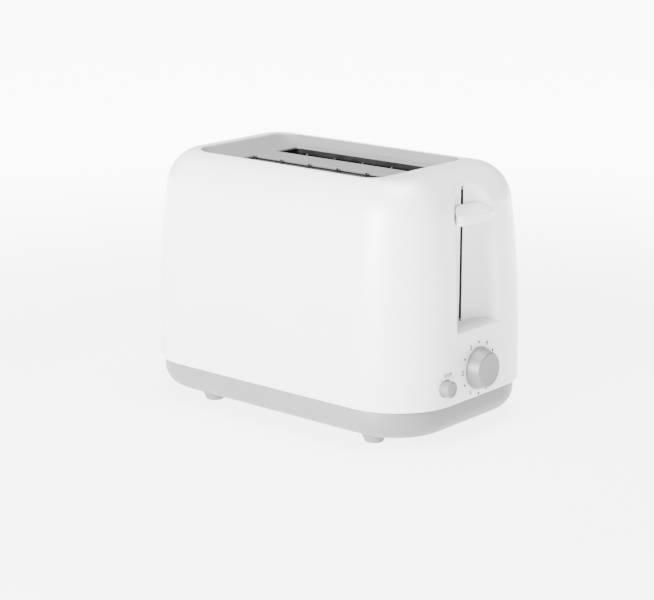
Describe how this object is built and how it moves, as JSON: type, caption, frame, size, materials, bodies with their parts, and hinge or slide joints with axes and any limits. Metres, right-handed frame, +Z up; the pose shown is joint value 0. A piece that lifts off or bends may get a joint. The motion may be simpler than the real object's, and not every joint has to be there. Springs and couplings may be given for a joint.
{
  "type": "pop up toaster",
  "caption": "Rounded white two-slot pop-up toaster with a grey dished top, an end-mounted lever channel, a browning dial, a stop button and a pull-out crumb tray.",
  "frame": {"origin": "middle of the bounding box in plan, on the surface that the feet stand on", "axes": "+X towards the control end with the lever and dial, +Z up, -Y towards the front long side"},
  "size_m": [0.2696, 0.159, 0.1833],
  "materials": {
    "white_shell": "satin gloss moulded plastic",
    "grey_plastic": "fine satin moulded plastic",
    "base_plastic": "satin moulded plastic",
    "foot_rubber": "matt rubber",
    "dark_plastic": "matt moulded plastic",
    "steel": "zinc-plated",
    "chamber_steel": "galvanised sheet, heat-dulled",
    "guard_wire": "bright drawn wire",
    "mica": "flaked mica board",
    "heating_ribbon": "oxidised resistance ribbon",
    "copper": "enamelled copper",
    "circuit_board": "solder-masked laminate",
    "lead_sleeve": "braided glass sleeve"
  },
  "bodies": {
    "housing": {"outer_shell": "white_shell", "top_insert": "grey_plastic", "base": "base_plastic", "foot_front_left": "foot_rubber", "foot_front_right": "foot_rubber", "foot_rear_right": "foot_rubber", "foot_rear_left": "foot_rubber", "front_bulkhead": "chamber_steel", "rear_bulkhead": "chamber_steel", "reflector_front": "chamber_steel", "reflector_rear": "chamber_steel", "mica_board_front": "mica", "mica_board_middle": "mica", "mica_board_rear": "mica", "ribbon_front_outer": "heating_ribbon", "ribbon_front_inner": "heating_ribbon", "ribbon_rear_inner": "heating_ribbon", "ribbon_rear_outer": "heating_ribbon", "guide_rod": "steel", "return_spring": "steel", "magnet_core": "steel", "magnet_coil": "copper", "contact_block": "dark_plastic", "contact_leaf_lower": "copper", "contact_leaf_upper": "copper", "terminal_block": "dark_plastic", "control_board": "circuit_board", "browning_potentiometer": "dark_plastic", "stop_switch": "dark_plastic", "timer_chip": "dark_plastic", "capacitor": "dark_plastic", "cord_gland": "dark_plastic", "live_lead": "lead_sleeve", "neutral_lead": "lead_sleeve", "case_screw_1": "steel", "case_screw_2": "steel", "case_screw_3": "steel", "case_screw_4": "steel", "board_screw_1": "steel", "board_screw_2": "steel"},
    "carriage": {"lever_knob": "white_shell", "lever_arm": "steel", "carriage_plate": "steel", "bread_rack_front": "chamber_steel", "bread_rack_rear": "chamber_steel", "armature": "steel"},
    "dial": {"browning_knob": "grey_plastic", "dial_shaft": "dark_plastic"},
    "stop": {"stop_button": "grey_plastic"},
    "crumb_tray": {"crumb_tray_pan": "chamber_steel", "crumb_tray_handle": "base_plastic"},
    "front_outer_guard": {"guard_front_outer": "guard_wire"},
    "front_inner_guard": {"guard_front_inner": "guard_wire"},
    "rear_inner_guard": {"guard_rear_inner": "guard_wire"},
    "rear_outer_guard": {"guard_rear_outer": "guard_wire"}
  },
  "joints": [
    {"name": "carriage_slide", "type": "slide", "parent": "housing", "child": "carriage", "axis": [0, 0, 1], "range_m": [-0.066, 0.012], "stiffness_N_per_m": 60, "springref_m": 0.022, "deforming": ["return_spring"]},
    {"name": "dial_turn", "type": "hinge", "parent": "housing", "child": "dial", "pos_m": [0.1314, 0, 0.0488], "axis": [-1, 0, 0], "range_deg": [0, 300]},
    {"name": "stop_press", "type": "slide", "parent": "housing", "child": "stop", "axis": [-1, 0, 0], "range_m": [0, 0.0025], "stiffness_N_per_m": 300},
    {"name": "tray_slide", "type": "slide", "parent": "housing", "child": "crumb_tray", "axis": [-1, 0, 0], "range_m": [0, 0.185]},
    {"name": "front_outer_guard_tilt", "type": "hinge", "parent": "housing", "child": "front_outer_guard", "pos_m": [0, -0.0363, 0.032], "axis": [1, 0, 0], "range_deg": [-3.1, 0.65]},
    {"name": "front_inner_guard_tilt", "type": "hinge", "parent": "housing", "child": "front_inner_guard", "pos_m": [0, -0.0142, 0.032], "axis": [1, 0, 0], "range_deg": [-0.65, 3.1]},
    {"name": "rear_inner_guard_tilt", "type": "hinge", "parent": "housing", "child": "rear_inner_guard", "pos_m": [0, 0.0142, 0.032], "axis": [1, 0, 0], "range_deg": [-3.1, 0.65]},
    {"name": "rear_outer_guard_tilt", "type": "hinge", "parent": "housing", "child": "rear_outer_guard", "pos_m": [0, 0.0363, 0.032], "axis": [1, 0, 0], "range_deg": [-0.65, 3.1]}
  ],
  "couplings": [
    {"joint": "front_outer_guard_tilt", "follows": "carriage_slide", "rad_per_m": 0.794},
    {"joint": "front_inner_guard_tilt", "follows": "carriage_slide", "rad_per_m": -0.794},
    {"joint": "rear_inner_guard_tilt", "follows": "carriage_slide", "rad_per_m": 0.794},
    {"joint": "rear_outer_guard_tilt", "follows": "carriage_slide", "rad_per_m": -0.794}
  ]
}
